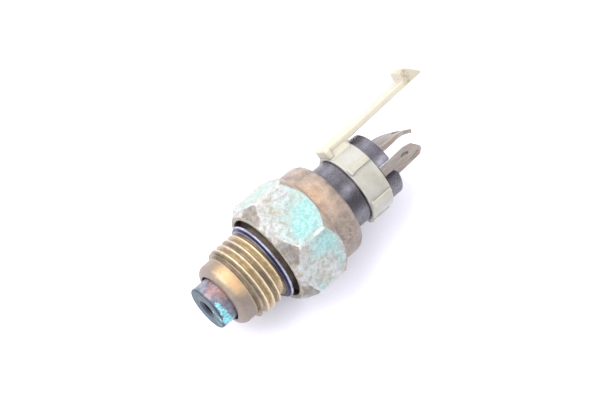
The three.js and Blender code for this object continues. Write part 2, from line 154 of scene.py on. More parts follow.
def fillet(before, corner, after, radius):
    """Points of the arc that rounds a corner between its two neighbours."""
    before, after = before - corner, after - corner
    reach = min(np.linalg.norm(before), np.linalg.norm(after)) * 0.95
    before, after = before / np.linalg.norm(before), after / np.linalg.norm(after)
    half = math.acos(max(-1, min(1, float(before @ after)))) / 2
    cut = min(radius / math.tan(half), reach)
    radius = cut * math.tan(half)
    middle = before + after
    centre = corner + middle / np.linalg.norm(middle) * math.hypot(cut, radius)
    a = corner + before * cut - centre
    b = corner + after * cut - centre
    turn = math.atan2(a[0] * b[1] - a[1] * b[0], float(a @ b))
    steps = max(3, int(abs(turn) * radius / 0.2))
    square = np.array([-a[1], a[0]])
    angles = [turn * k / steps for k in range(steps + 1)]
    return [centre + a * math.cos(t) + square * math.sin(t) for t in angles]


def rounded(corners, closed=True):
    """Points along an outline of (s, r, fillet radius, step to the next corner)."""
    count = len(corners)
    places = [np.array(corner[:2], float) for corner in corners]
    arcs = []
    for i, (_, _, radius, _) in enumerate(corners):
        if radius <= 0 or (not closed and i in (0, count - 1)):
            arcs.append([places[i]])
        else:
            arcs.append(fillet(places[i - 1], places[i], places[(i + 1) % count], radius))
    points = []
    for i, arc in enumerate(arcs):
        points.extend(arc)
        if i == count - 1 and not closed:
            break
        gap = arcs[(i + 1) % count][0] - arc[-1]
        steps = max(1, int(round(np.linalg.norm(gap) / corners[i][3])))
        points.extend(arc[-1] + gap * k / steps for k in range(1, steps))
    kept = points[:1]
    for point in points[1:]:
        if np.linalg.norm(point - kept[-1]) > 1e-4:
            kept.append(point)
    return np.array(kept)


def spin(outline, turn, reshape=None):
    """Vertices and faces of an outline spun about the axis. Points on the axis become poles."""
    psi = np.arange(turn) * 2 * np.pi / turn
    verts, rings = [], []
    for s, r in outline:
        if r < 1e-6:
            rings.append([len(verts)])
            verts.append((s, 0.0, 0.0))
            continue
        radii = np.full(turn, r)
        along = np.full(turn, s)
        if reshape is not None:
            along, radii = reshape(along, radii, np.degrees(psi))
        rings.append(list(range(len(verts), len(verts) + turn)))
        verts.extend(zip(along, -radii * np.sin(psi), radii * np.cos(psi)))
    faces = []
    starts_on_axis = len(rings[0]) == 1
    for a, b in zip(rings, rings[1:] + ([] if starts_on_axis else rings[:1])):
        for k in range(turn):
            n = (k + 1) % turn
            if len(a) == 1:
                faces.append((a[0], b[n], b[k]))
            elif len(b) == 1:
                faces.append((a[k], a[n], b[0]))
            else:
                faces.append((a[k], a[n], b[n], b[k]))
    return np.array(verts), faces


# ---- Pieces ----

def to_row(points):
    """Switch coordinates in mm as the frame's coordinates in metres."""
    return np.asarray(points, float) * MM + [NOSE_X, 0, AXIS_Z]


def new_object(name, data):
    obj = bpy.data.objects.new(name, data)
    bpy.context.scene.collection.objects.link(obj)
    return obj


def piece(name, shell, body, surface, replaces, smooth_angle=35):
    """A closed shell in switch coordinates becomes an object. It rides on the body, if one is given."""
    verts, faces = shell
    mesh = bpy.data.meshes.new(name)
    mesh.from_pydata([tuple(p) for p in to_row(verts)], [], faces)
    bm = bmesh.new()
    bm.from_mesh(mesh)
    bmesh.ops.remove_doubles(bm, verts=bm.verts, dist=1e-7)
    bmesh.ops.recalc_face_normals(bm, faces=bm.faces)
    bm.to_mesh(mesh)
    bm.free()
    obj = new_object(name, mesh)
    mesh.materials.append(surface)
    mesh.shade_smooth()
    mesh.set_sharp_from_angle(angle=math.radians(smooth_angle))
    if body:
        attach(obj, body)
    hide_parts(*replaces)
    return obj


def bmesh_object(name, shape):
    """An object in the scene made from a bmesh, which is freed."""
    mesh = bpy.data.meshes.new(name)
    shape.to_mesh(mesh)
    shape.free()
    return new_object(name, mesh)


def points_of(obj):
    """An object's vertices in switch coordinates."""
    flat = np.zeros(len(obj.data.vertices) * 3, np.float32)
    obj.data.vertices.foreach_get("co", flat)
    return (flat.reshape(-1, 3).astype(float) - [NOSE_X, 0, AXIS_Z]) / MM


def push(obj, depth):
    """Moves each vertex along its normal by its own depth in mm."""
    flat = np.zeros(len(obj.data.vertices) * 3, np.float32)
    obj.data.vertex_normals.foreach_get("vector", flat)
    moved = points_of(obj) + flat.reshape(-1, 3) * depth[:, None]
    obj.data.vertices.foreach_set("co", to_row(moved).astype(np.float32).ravel())
    obj.data.update()


def paint(obj, **masks):
    """Stores a number from 0 to 1 on each vertex, for the material to read by name."""
    for name, values in masks.items():
        attribute = obj.data.attributes.new(name, "FLOAT", "POINT")
        attribute.data.foreach_set("value", np.clip(values, 0, 1).astype(np.float32))


def merge(*shells):
    """Several shells, each (vertices, faces), as one."""
    faces, base = [], 0
    for part_verts, part_faces in shells:
        faces.extend(tuple(i + base for i in face) for face in part_faces)
        base += len(part_verts)
    return np.concatenate([part_verts for part_verts, _ in shells]), faces


def strip_faces(stations, size):
    """Faces of a bar whose stations each have the same number of points, closed at both ends."""
    faces = []
    for i in range(stations - 1):
        for j in range(size):
            k = (j + 1) % size
            faces.append((i * size + j, i * size + k, (i + 1) * size + k, (i + 1) * size + j))
    faces.append(tuple(range(size)))
    faces.append(tuple((stations - 1) * size + j for j in reversed(range(size))))
    return faces


def turned(shell, psi):
    """A shell drawn with +Z outward, turned about the axis to the angle psi."""
    a = math.radians(psi)
    (x, y, z), faces = np.asarray(shell[0], float).T, shell[1]
    y, z = y * math.cos(a) - z * math.sin(a), y * math.sin(a) + z * math.cos(a)
    return np.stack([x, y, z], 1), faces


# ---- Shader helpers ----

def srgb(r, g, b, share=0.8):
    """Linear colour of an sRGB colour given in 0 to 255, as seen under light brighter than white."""
    def linear(v):
        v /= 255
        return share * (v / 12.92 if v <= 0.04045 else ((v + 0.055) / 1.055) ** 2.4)
    return (linear(r), linear(g), linear(b), 1)


class Shader:
    """A node material under construction. Sizes are in millimetres."""

    def __init__(self, name):
        self.material = bpy.data.materials.new(name)
        self.material.use_nodes = True
        self.tree = self.material.node_tree
        self.bsdf = self.tree.nodes["Principled BSDF"]
        self.coords = self.tree.nodes.new("ShaderNodeTexCoord").outputs["Object"]

    def put(self, socket, value):
        """Links a socket to the input, or sets the input to a constant."""
        if isinstance(value, bpy.types.NodeSocket):
            self.tree.links.new(value, socket)
        else:
            socket.default_value = value

    def base(self, **values):
        """Sets or links the main shader's sockets, named with _ for a space."""
        for name, value in values.items():
            self.put(self.bsdf.inputs[name.replace("_", " ")], value)

    def noise(self, size, detail, roughness, distortion=0.0, stretch=(1, 1, 1)):
        """Noise with features of that size in mm, finer along an axis whose stretch is above 1."""
        mapping = self.tree.nodes.new("ShaderNodeMapping")
        mapping.inputs["Scale"].default_value = stretch
        self.tree.links.new(self.coords, mapping.inputs["Vector"])
        node = self.tree.nodes.new("ShaderNodeTexNoise")
        self.tree.links.new(mapping.outputs["Vector"], node.inputs["Vector"])
        node.inputs["Scale"].default_value = 1 / (size * MM)
        node.inputs["Detail"].default_value = detail
        node.inputs["Roughness"].default_value = roughness
        node.inputs["Distortion"].default_value = distortion
        return node.outputs["Fac"]

    def mask(self, name):
        """A number painted on the vertices."""
        node = self.tree.nodes.new("ShaderNodeAttribute")
        node.attribute_name = name
        return node.outputs["Fac"]

    def math(self, operation, a, b):
        node = self.tree.nodes.new("ShaderNodeMath")
        node.operation = operation
        self.put(node.inputs[0], a)
        self.put(node.inputs[1], b)
        return node.outputs[0]

    def times(self, a, b):
        return self.math("MULTIPLY", a, b)

    def plus(self, a, b):
        return self.math("ADD", a, b)

    def most(self, a, b):
        return self.math("MAXIMUM", a, b)

    def span(self, value, low, high, to_low=0.0, to_high=1.0):
        """Value mapped smoothly from low..high to to_low..to_high."""
        node = self.tree.nodes.new("ShaderNodeMapRange")
        node.interpolation_type = "SMOOTHSTEP"
        self.put(node.inputs["Value"], value)
        for socket, number in zip(("From Min", "From Max", "To Min", "To Max"),
                                  (low, high, to_low, to_high)):
            node.inputs[socket].default_value = number
        return node.outputs["Result"]

    def mix(self, amount, a, b):
        node = self.tree.nodes.new("ShaderNodeMix")
        node.data_type = "RGBA"
        self.put(node.inputs["Factor"], amount)
        self.put(node.inputs[6], a)  # the A, B and Result sockets of the colour type
        self.put(node.inputs[7], b)
        return node.outputs[2]

    def ramp(self, value, *stops):
        """Colours at positions along the value: (position, colour) pairs."""
        node = self.tree.nodes.new("ShaderNodeValToRGB")
        self.put(node.inputs["Fac"], value)
        elements = node.color_ramp.elements
        while len(elements) < len(stops):
            elements.new(0.5)
        for element, (position, colour) in zip(elements, stops):
            element.position, element.color = position, colour
        return node.outputs["Color"]

    def tones(self, value, *colours, low=0.3, high=0.7):
        """Colours spread evenly over the value's range from low to high."""
        stops = [(i / (len(colours) - 1), colour) for i, colour in enumerate(colours)]
        return self.ramp(self.span(value, low, high), *stops)

    def bump(self, height, depth):
        node = self.tree.nodes.new("ShaderNodeBump")
        node.inputs["Distance"].default_value = depth * MM
        self.put(node.inputs["Height"], height)
        self.put(self.bsdf.inputs["Normal"], node.outputs["Normal"])


# ---- Materials ----

def bare_brass(sh, broad, soft, fine, grit):
    """The metal's colour: brown to golden or coppery, bright on the crests as worn metal and painted
    highlight, with a painted highlight band and painted shade on the nose and threads, dark in pits.
    """
    metal = sh.tones(
        broad, srgb(128, 116, 102), srgb(158, 142, 122), srgb(184, 168, 140), low=0.34, high=0.66)
    golden = sh.tones(soft, srgb(186, 166, 126), srgb(234, 210, 168), low=0.32, high=0.68)
    metal = sh.mix(sh.mask("warm"), metal, golden)
    copper = sh.tones(broad, srgb(146, 134, 126), srgb(194, 174, 158))
    metal = sh.mix(sh.mask("copper"), metal, copper)
    # orange metal on the collar, and a painted orange highlight band round the nose
    orange = sh.times(sh.mask("orange"), sh.span(fine, 0.2, 0.6, 0.7, 1.0))
    metal = sh.mix(orange, metal, srgb(246, 190, 136))
    # grime in the grooves, with painted shade in the roots and on the lower-right sides
    metal = sh.mix(sh.times(sh.mask("mauve"), 0.85), metal, srgb(140, 126, 118))
    # painted highlight on the thread crests and the nose's rear edge
    metal = sh.mix(sh.times(sh.mask("crest"), 0.6), metal, srgb(250, 234, 198))
    metal = sh.mix(sh.span(grit, 0.56, 0.7, 0.0, 0.5), metal, srgb(98, 90, 78))
    return sh.mix(sh.span(grit, 0.42, 0.3, 0.0, 0.35), metal, srgb(226, 220, 204))


def chalky_scale(sh, broad, soft, grit):
    """The grey-white scale's colour, tan in places and pitted dark."""
    chalk = sh.tones(
        soft, srgb(172, 167, 160), srgb(196, 194, 190), srgb(216, 217, 216), low=0.32, high=0.68)
    tan = sh.span(broad, 0.46, 0.62, 0.0, 0.45)
    chalk = sh.mix(tan, chalk, srgb(190, 176, 152))
    return sh.mix(sh.span(grit, 0.52, 0.64, 0.0, 0.6), chalk, srgb(112, 106, 100))


def aged_brass():
    """Brass, browned and worn, under chalky scale and blue-green verdigris, with painted highlight and
    shade.
    """
    sh = Shader("aged_brass")
    broad, soft = sh.noise(2.6, 5, 0.6), sh.noise(0.9, 5, 0.6)
    fine, grit = sh.noise(0.32, 4, 0.6), sh.noise(0.2, 3, 0.7)
    fray = sh.times(fine, 0.8)  # breaks up the edge of each layer

    scale = sh.span(sh.plus(sh.mask("scale"), fray), 0.55, 1.1)
    colour = sh.mix(
        scale, bare_brass(sh, broad, soft, fine, grit), chalky_scale(sh, broad, soft, grit))

    green = sh.plus(sh.mask("verdigris"), sh.plus(fray, sh.times(soft, 0.8)))
    green = sh.times(sh.span(green, 0.85, 1.7), sh.span(grit, 0.35, 0.68, 1.0, 0.72))
    verdigris = sh.tones(
        sh.noise(0.6, 5, 0.6), srgb(134, 190, 184), srgb(152, 206, 202), srgb(180, 222, 222))
    colour = sh.mix(green, colour, verdigris)

    # white scale, and painted highlight along the hexagon's edges
    white = sh.span(sh.plus(sh.mask("white"), fray), 0.7, 1.1)
    colour = sh.mix(white, colour, srgb(230, 231, 226))
    # dirt, and painted shade in the recess, grooves and corners
    dirt = sh.times(sh.mask("dirt"), sh.span(fine, 0.25, 0.75, 0.75, 1.0))
    colour = sh.mix(dirt, colour, srgb(54, 36, 31))

    coat = sh.most(sh.most(scale, green), sh.most(white, dirt))
    rough = sh.plus(sh.span(coat, 0.0, 1.0, 0.38, 0.8), sh.span(fine, 0.3, 0.7, 0.0, 0.1))
    sh.base(Base_Color=colour, Metallic=sh.span(coat, 0.0, 0.7, 0.62, 0.0), Roughness=rough)
    height = sh.plus(sh.times(fine, 0.8), sh.times(grit, 0.5))
    sh.bump(sh.times(height, sh.span(coat, 0.0, 1.0, 0.3, 1.0)), 0.16)
    return sh.material


def plunger_steel():
    """Blue-grey steel with red rust and bright copper-green deposits, darker in its hole and at the
    bore's mouth as painted shade.
    """
    sh = Shader("plunger_steel")
    broad, fine = sh.noise(1.8, 5, 0.6), sh.noise(0.35, 5, 0.65)
    metal = sh.ramp(
        sh.span(broad, 0.3, 0.7),
        (0.0, srgb(98, 112, 124)), (0.6, srgb(138, 144, 158)), (1.0, srgb(168, 162, 176)))
    teal = sh.tones(fine, srgb(50, 74, 82), srgb(78, 98, 108))
    metal = sh.mix(sh.mask("teal"), metal, teal)
    rust = sh.times(sh.mask("rust"), sh.span(sh.noise(0.9, 5, 0.65), 0.3, 0.72, 0.0, 0.9))
    red = sh.ramp(fine, (0.35, srgb(186, 88, 62)), (0.65, srgb(222, 142, 112)))
    metal = sh.mix(rust, metal, red)
    green_edge = sh.plus(sh.mask("verdigris"), sh.span(fine, 0.2, 0.8, -0.28, 0.28))
    green = sh.span(green_edge, 0.42, 0.6)
    verdigris = sh.ramp(fine, (0.34, srgb(64, 132, 142)), (0.48, srgb(116, 200, 212)),
                        (0.62, srgb(184, 238, 244)))
    colour = sh.mix(green, metal, verdigris)
    # painted shade: darker in the face's hole and where the pin goes into the bore
    colour = sh.mix(sh.mask("dirt"), colour, srgb(30, 28, 44))
    sh.base(
        Base_Color=colour,
        Metallic=sh.span(sh.most(green, rust), 0.0, 0.8, 0.6, 0.0),
        Roughness=sh.span(sh.most(green, fine), 0.2, 0.9, 0.34, 0.7),
    )
    sh.bump(sh.plus(fine, sh.times(green, 0.8)), 0.07)
    return sh.material


def washer_steel():
    """Dark blue steel, with painted highlight on its rolled rim and on the leaves' upper-left side."""
    sh = Shader("washer_steel")
    fine = sh.noise(0.3, 5, 0.65)
    streaks = sh.noise(0.5, 5, 0.6, stretch=(6, 1, 1))
    dark = sh.tones(streaks, srgb(24, 25, 44), srgb(58, 60, 92))
    # painted highlight: the paler tone for the rim and the leaves' upper-left side
    bright = sh.tones(fine, srgb(160, 158, 184), srgb(216, 212, 234))
    sh.base(
        Base_Color=sh.mix(sh.mask("bright"), dark, bright),
        Metallic=sh.span(fine, 0.3, 0.8, 0.7, 0.5),
        Roughness=sh.span(streaks, 0.3, 0.7, 0.3, 0.5),
    )
    sh.bump(sh.plus(fine, streaks), 0.02)
    return sh.material


def black_phenolic():
    """Moulded black phenolic, semi-gloss and a little dusty, with painted sheen in grey bands round its
    barrel.
    """
    sh = Shader("black_phenolic")
    broad, fine, grit = sh.noise(2.8, 4, 0.6), sh.noise(0.4, 6, 0.7), sh.noise(0.12, 3, 0.6)
    dust = sh.times(sh.span(broad, 0.4, 0.7), sh.span(fine, 0.42, 0.7))
    black = sh.tones(fine, srgb(22, 18, 26), srgb(44, 38, 50))
    # painted sheen: grey bands of highlight round the barrel, and painted bounce light underneath
    grey = sh.tones(sh.noise(2.4, 4, 0.55), srgb(120, 114, 120), srgb(170, 168, 182))
    rubbed = sh.times(sh.mask("rubbed"), sh.span(fine, 0.2, 0.8, 0.86, 1.0))
    black = sh.mix(rubbed, black, grey)
    sh.base(
        Base_Color=sh.mix(sh.times(dust, 0.4), black, srgb(120, 112, 124)),
        Roughness=sh.span(sh.plus(fine, dust), 0.3, 1.2, 0.25, 0.48),
        Specular_IOR_Level=0.6,
    )
    sh.bump(sh.plus(fine, sh.times(grit, 0.5)), 0.02)
    return sh.material


def terminal_metal():
    """Tinned brass blade, dulled, with the tin worn through in pinkish patches."""
    sh = Shader("terminal_metal")
    broad, fine = sh.noise(1.6, 5, 0.6, 0.4), sh.noise(0.25, 5, 0.65)
    streaks = sh.noise(0.7, 5, 0.6, stretch=(0.25, 1, 1))
    tin = sh.tones(streaks, srgb(138, 132, 122), srgb(184, 177, 166))
    worn = sh.tones(fine, srgb(144, 126, 114), srgb(182, 166, 154))
    colour = sh.mix(sh.span(broad, 0.42, 0.6), tin, worn)
    sh.base(
        Base_Color=sh.mix(sh.span(fine, 0.6, 0.78), colour, srgb(104, 96, 92)),
        Metallic=sh.span(broad, 0.3, 0.7, 0.8, 0.55),
        Roughness=sh.span(fine, 0.3, 0.75, 0.36, 0.58),
    )
    sh.bump(sh.plus(fine, streaks), 0.03)
    return sh.material


def cream_nylon():
    """Aged translucent nylon, yellower where it is thick, cloudy inside, with painted glow on the arm's
    side face and a painted shadow by the barb.
    """
    sh = Shader("cream_nylon")
    broad, fine = sh.noise(3.5, 4, 0.6), sh.noise(0.4, 5, 0.6)
    colour = sh.tones(broad, srgb(210, 206, 188, 0.54), srgb(228, 226, 216, 0.54))
    colour = sh.mix(sh.mask("thick"), colour, srgb(238, 226, 196, 0.5))
    # painted glow: the arm's side face made paler, as light passing through the nylon
    colour = sh.mix(sh.mask("clear"), colour, srgb(242, 234, 212, 0.58))
    # dirt toward the tip, and a painted shadow by the barb
    dirt = sh.times(sh.mask("dirt"), sh.span(fine, 0.35, 0.6))
    colour = sh.mix(dirt, colour, srgb(160, 138, 102))
    sh.base(
        Base_Color=colour,
        Roughness=sh.span(fine, 0.3, 0.7, 0.3, 0.46),
        Subsurface_Weight=0.35,
        Subsurface_Radius=(1.0, 0.85, 0.55),
        Subsurface_Scale=0.0012,
        IOR=1.53,
    )
    sh.bump(sh.plus(fine, broad), 0.04)
    return sh.material


def grained(name, dark, light, size, metallic, roughness, depth, stretch=(1, 1, 1)):
    """A two-tone grained surface, for the pieces inside."""
    sh = Shader(name)
    grain, fine = sh.noise(size, 5, 0.6, stretch=stretch), sh.noise(size / 5, 4, 0.6)
    tone = sh.plus(sh.times(grain, 0.7), sh.times(fine, 0.3))
    sh.base(
        Base_Color=sh.tones(tone, dark, light, low=0.32, high=0.68),
        Metallic=metallic,
        Roughness=sh.span(fine, 0.3, 0.7, roughness - 0.08, roughness + 0.1),
    )
    sh.bump(tone, depth)
    return sh.material


BRASS = aged_brass()
STEEL = plunger_steel()
WASHER = washer_steel()
PHENOLIC = black_phenolic()
TERMINAL = terminal_metal()
NYLON = cream_nylon()
SPRING = grained("spring_steel", srgb(120, 120, 124), srgb(196, 196, 200), 0.6, 0.95, 0.3, 0.01)
LAMINATE = grained("laminate", srgb(92, 54, 30), srgb(142, 92, 56), 0.5, 0.0, 0.62, 0.03, (4, 1, 1))
COPPER = grained("contact_copper", srgb(150, 84, 52), srgb(208, 138, 98), 0.8, 0.95, 0.32, 0.01)
SILVER = grained("contact_silver", srgb(178, 178, 184), srgb(228, 228, 232), 0.4, 0.95, 0.24, 0.01)
RUBBER = grained("rubber", srgb(20, 20, 21), srgb(46, 45, 46), 0.3, 0.0, 0.72, 0.03)

CARRIED_OVER = {
    "plunger_oring": RUBBER, "base_gasket": RUBBER,
    "spring_seat_washer": SPRING, "contact_spring": SPRING, "bridge_clip": SPRING,
    "guide_plate": LAMINATE, "insulating_sleeve": LAMINATE, "contact_carrier": LAMINATE,
    "contact_bridge": COPPER,
    "contact_pad_near": SILVER, "contact_pad_far": SILVER,
    "contact_button_near": SILVER, "contact_button_far": SILVER,
}


def dress_inner_nodes():
    """Gives each CAD node that Blender keeps its material."""
    for node, surface in CARRIED_OVER.items():
        materials = frame["nodes"][node].data.materials
        materials.clear()
        materials.append(surface)


# ---- Brass body ----

def crest_turns(s, psi):
    """How many turns of the thread lie between a point and the crest line. Whole on the crest."""
    return (s - CREST_S) / THREAD_PITCH - (psi - CREST_PSI) / 360


def thread_radius(s, psi):
    """The radius of the thread's form, with its run-in and run-out."""
    off = (crest_turns(s, psi) + 0.5) % 1 - 0.5
    ridge_s = s - off * THREAD_PITCH
    height = smooth(ridge_s, *THREAD_RISE) * (1 - smooth(ridge_s, *THREAD_FALL))
    crest_half, flank_angle, root_sharpness = 0.13, math.radians(30), 14
    flank = THREAD_R - np.maximum(np.abs(off) * THREAD_PITCH - crest_half, 0) / math.tan(flank_angle)
    form = np.log(np.exp((flank - THREAD_ROOT_R) * root_sharpness) + 1) / root_sharpness
    form = np.minimum(form, THREAD_R - THREAD_ROOT_R)
    return THREAD_ROOT_R + form * height


def hexagon_radius(r, psi):
    """The smaller of the turned outline and the flats, with softened edges."""
    flat = HEX_FLAT_R / np.cos(np.radians((psi + 30) % 60 - 30))
    sharpness = 30.0
    sides = np.exp(-sharpness * (r - HEX_FLAT_R)) + np.exp(-sharpness * (flat - HEX_FLAT_R))
    return -np.log(sides) / sharpness + HEX_FLAT_R


def body_shape(s, r, psi):
    """Cuts the thread and the flats into one ring of points of the turned bar."""
    if THREAD_S0 < s[0] < THREAD_S1 and abs(r[0] - THREAD_R) < 1e-3:
        return s, thread_radius(s, psi)
    if HEX_FRONT_S - 0.1 < s[0] < HEX_REAR_S + 0.15 and r[0] > HEX_FRONT_R - 0.3:
        return s, np.minimum(hexagon_radius(r, psi), r)
    return s, r


def body_outline():
    """The turned bar's half section, from the nose back along the outside and forward along the bore."""
    relief_r, chamber_r, bore_r = 6.8, 8.0, 5.9
    lip_r, crimp_s, crimp_r, crimp_floor_s = 7.6, 32.2, 9.4, 27.5
    shoulder_s, bore_floor_s = 19.5, 8.5
    nose_and_thread = [
        (NOSE_S, NOSE_BORE_R + 0.02, 0.12, 0.3), (NOSE_S, NOSE_R, 1.55, 0.3),
        (NOSE_END_S, NOSE_R, 0.15, 0.2), (NOSE_END_S + 0.05, relief_r, 0.1, 0.2),
        (THREAD_S0, relief_r, 0, 0.2), (THREAD_S0 + 0.02, THREAD_R, 0, 0.065),
        (THREAD_S1 - 0.02, THREAD_R, 0, 0.2), (THREAD_S1, NECK_R, 0, 0.3),
    ]
    recess_and_hexagon = [
        (RECESS_FLOOR_S, NECK_R, 0.2, 0.3), (RECESS_FLOOR_S, RECESS_R, 0.25, 0.3),
        (HEX_FRONT_S, RECESS_R + 0.05, 0.2, 0.2), (HEX_FRONT_S, HEX_FRONT_R, 0.15, 0.2),
        (18.4, HEX_BAR_R, 0.5, 0.25), (25.5, HEX_BAR_R, 0.4, 0.25),
        (HEX_REAR_S, HEX_REAR_R, 0.2, 0.2), (HEX_REAR_S + 0.05, COLLAR_R, 0.25, 0.2),
    ]
    crimp_collar = [
        (BODY_END_S, COLLAR_R, 2.3, 0.3), (BODY_END_S, lip_r + 0.02, 0.35, 0.25),
        (crimp_s, lip_r, 0.3, 0.4), (crimp_s, crimp_r, 1.3, 0.6), (crimp_floor_s, crimp_r, 0, 2),
    ]
    bore = [
        (crimp_floor_s, chamber_r, 0, 1), (shoulder_s, chamber_r, 0, 3), (shoulder_s, bore_r, 0, 1),
        (bore_floor_s, bore_r, 0, 3), (bore_floor_s, NOSE_BORE_R, 0, 1),
    ]
    return rounded(nose_and_thread + recess_and_hexagon + crimp_collar + bore)


def brass_body():
    shell = spin(body_outline(), BODY_TURN, body_shape)
    body = piece("brass_body_shell", shell, "housing", BRASS, ["brass_body"])
    skin = body_skin(points_of(body))
    paint_threads(body, skin)
    paint_crust(body, skin)
    paint_stains(body, skin)
    depth = skin.hexagon * (0.06 * skin.lumps + 0.05 * skin.broad - 0.05)
    depth += 0.03 * skin.collar * skin.lumps - 0.08 * skin.edge * smooth(skin.lumps, -0.1, 0.5)
    push(body, depth * (skin.r > np.where(skin.s < 19, 6.4, 9.6)))


def body_skin(points):
    """Noises on the body's vertices, and masks of the hexagon, its recess and the collar behind it."""
    s, r, psi = polar(points)
    off_edge = 30 - np.abs((psi + 30) % 60 - 30)  # degrees from the nearest edge between two flats
    flat_r = HEX_FLAT_R / np.cos(np.radians(30 - off_edge))
    past_front = s - HEX_FRONT_S - (flat_r - HEX_FRONT_R) * FRONT_SLOPE
    past_rear = s - HEX_REAR_S + (flat_r - HEX_REAR_R) * REAR_SLOPE
    hexagon = smooth(s, 15.5, 16.2) * smooth(past_rear, 0.2, -0.15) * (r > 9.3)
    collar = smooth(past_rear, -0.15, 0.2) * (s > 20)
    chamfer = hexagon * smooth(past_front, 0.08, -0.12) * smooth(r, 10.2, 10.35)
    pitted = collar * blob(s, psi, 29.5, 62, 2.5, 22)
    specks = fractal(points, 0.5, 3, 21.0)
    return SimpleNamespace(
        s=s, r=r, psi=psi,
        broad=fractal(points, 4.0, 4),
        lumps=fractal(points, 1.3, 5, 7.0),
        dull_spots=fractal(points, 3.0, 4, 3.0),
        green_drift=fractal(points, 5.0, 4, 13.0),
        hexagon=hexagon,
        edge=smooth(off_edge, 3.2, 1.0) * hexagon * (s > 18),
        chamfer=chamfer,
        corner=chamfer * smooth(off_edge, 18, 12),
        chamfer_line=hexagon * np.exp(-((past_front - 0.25) / 0.22) ** 2) * smooth(r, 10.3, 10.8),
        front_land=hexagon * (r < 10.35),
        recess=smooth(s, 13.9, 14.2) * (r < 9.36) * (s < 18),
        collar=collar,
        dark_pits=pitted * smooth(specks, 0.15, 0.5),
        white_pits=pitted * smooth(-specks, 0.3, 0.6),
    )


def paint_threads(body, skin):
    """Bright crests as worn metal and painted highlight, golden flanks, mauve-brown grime in every
    second groove, and painted light and shade.
    """
    s, r, psi, broad = skin.s, skin.r, skin.psi, skin.broad
    turn = crest_turns(s, psi)
    nose = s < NOSE_END_S + 0.1
    threads = smooth(s, 7.45, 7.6) * (1 - smooth(s, 14.0, 14.3)) * (r < 8.1)
    # bright crests: worn metal with painted highlight on the upper-left side only, and a painted
    # highlight line on the nose's rear edge
    crest = threads * smooth(r, 7.82, 7.96) * (0.85 + 0.3 * broad) * smooth(psi, -80, -10)
    crest += 0.6 * smooth(s, 6.75, 6.9) * nose * (r > 6.85)
    dirty = np.maximum(turn < -0.12, (turn > 1.1) & (turn < 1.9)).astype(float)
    # painted shade in the thread roots and on the lower right of the nose and collar; the upper-left
    # sides of nose and thread greyer as painted light; grime in alternate grooves
    mauve = threads * (0.35 * (1 - smooth(r, 7.1, 7.5)) + dirty * (0.5 + 0.4 * broad))
    mauve += nose * (smooth(psi, 26, 50) + 0.75 * smooth(psi, -18, -42)) + 0.7 * smooth(s, 5.0, 4.1)
    mauve += 0.55 * threads * smooth(psi, -20, -55)
    mauve += 0.5 * smooth(s, 27, 28) * blob(s, psi, 30, 72, 4, 30)
    warm = 0.85 * threads + 0.3 * nose + patches(s, psi, (0.8, 19.8, -15, 2.0, 11))
    paint(body, crest=crest, mauve=mauve, warm=warm)


def paint_crust(body, skin):
    """Chalky scale over the hexagon, verdigris on its upper flats, white on a scar, the land and in
    pits, and painted highlight along its edges and the chamfer's line.
    """
    s, psi, broad = skin.s, skin.psi, skin.broad
    scale = skin.hexagon * (0.85 + 0.3 * broad) - 0.3 * skin.corner + 0.2 * skin.front_land
    scale -= patches(s, psi, (0.4, 19.8, -15, 1.6, 9))
    scale += skin.collar * (0.1 + 0.3 * broad + patches(s, psi, (0.22, 30, 66, 4.0, 24)))
    scale += 0.25 * (s < THREAD_S1) * smooth(skin.dull_spots, 0.3, 0.8)

    verdigris = 0.12 + 0.25 * skin.green_drift
    verdigris += patches(
        s, psi, (0.7, 24.4, 6, 3.6, 20), (0.6, 21.8, 19, 2.6, 12), (0.65, 24.0, 44, 3.0, 13),
        (0.5, 25.8, 70, 1.6, 16), (0.4, 22, -58, 6, 22), (0.3, 19.5, 84, 2.0, 14))
    verdigris *= skin.hexagon * (1 - 0.8 * skin.front_land) * (1 - skin.chamfer)

    scar = patches(s, psi, (0.5, 24.0, 31, 1.5, 2.2))
    # painted highlight along the edges between flats and the chamfer's line; white scale on the scar,
    # the land and in pits
    white = 0.4 * skin.edge + scar * (0.8 + 0.8 * skin.lumps) + 0.45 * skin.chamfer_line
    white += 0.4 * skin.front_land * smooth(broad, -0.3, 0.4) + 0.55 * skin.white_pits
    paint(body, scale=scale, verdigris=verdigris, white=white)


def paint_stains(body, skin):
    """Painted shade in the recess, round the chamfer's corners, on the collar's lower right and in the
    groove behind the nose; dirt in the pits and by a scar; coppery-orange metal, and a painted orange
    highlight band on the nose.
    """
    s, psi, broad = skin.s, skin.psi, skin.broad
    # painted shade darkening the recess toward the washer, and dirt in the pits
    dirt = skin.recess * (0.5 + 0.48 * smooth(s, 15.9, 16.9)) + 0.5 * skin.dark_pits
    # painted shade on the chamfer and darker at its corners
    dirt += (0.16 * skin.chamfer + 0.44 * skin.corner) * (0.8 + 0.5 * skin.lumps)
    dirt += skin.hexagon * patches(s, psi, (0.3, 24.2, 35, 1.3, 2))
    # painted shade on the collar's lower right
    dirt += skin.collar * (patches(s, psi, (0.16, 30, 70, 4.0, 26)) + 0.2 * smooth(psi, 60, 110))
    # painted shade in the groove behind the nose
    dirt += 0.28 * (s > NOSE_END_S - 0.05) * (s < THREAD_S0) * (skin.r < NOSE_R)
    copper = skin.collar * (0.9 + 0.3 * broad)
    orange = skin.collar * (patches(s, psi, (0.3, 28.8, 2, 2.2, 22)) + 0.12 * smooth(broad, 0.1, 0.5))
    # painted highlight: an orange band round the middle of the nose
    orange += (s < NOSE_END_S + 0.1) * patches(s, psi, (0.95, 5.8, 4, 1.2, 27))
    paint(body, dirt=dirt, copper=copper, orange=orange)


# ---- Washer and plunger ----

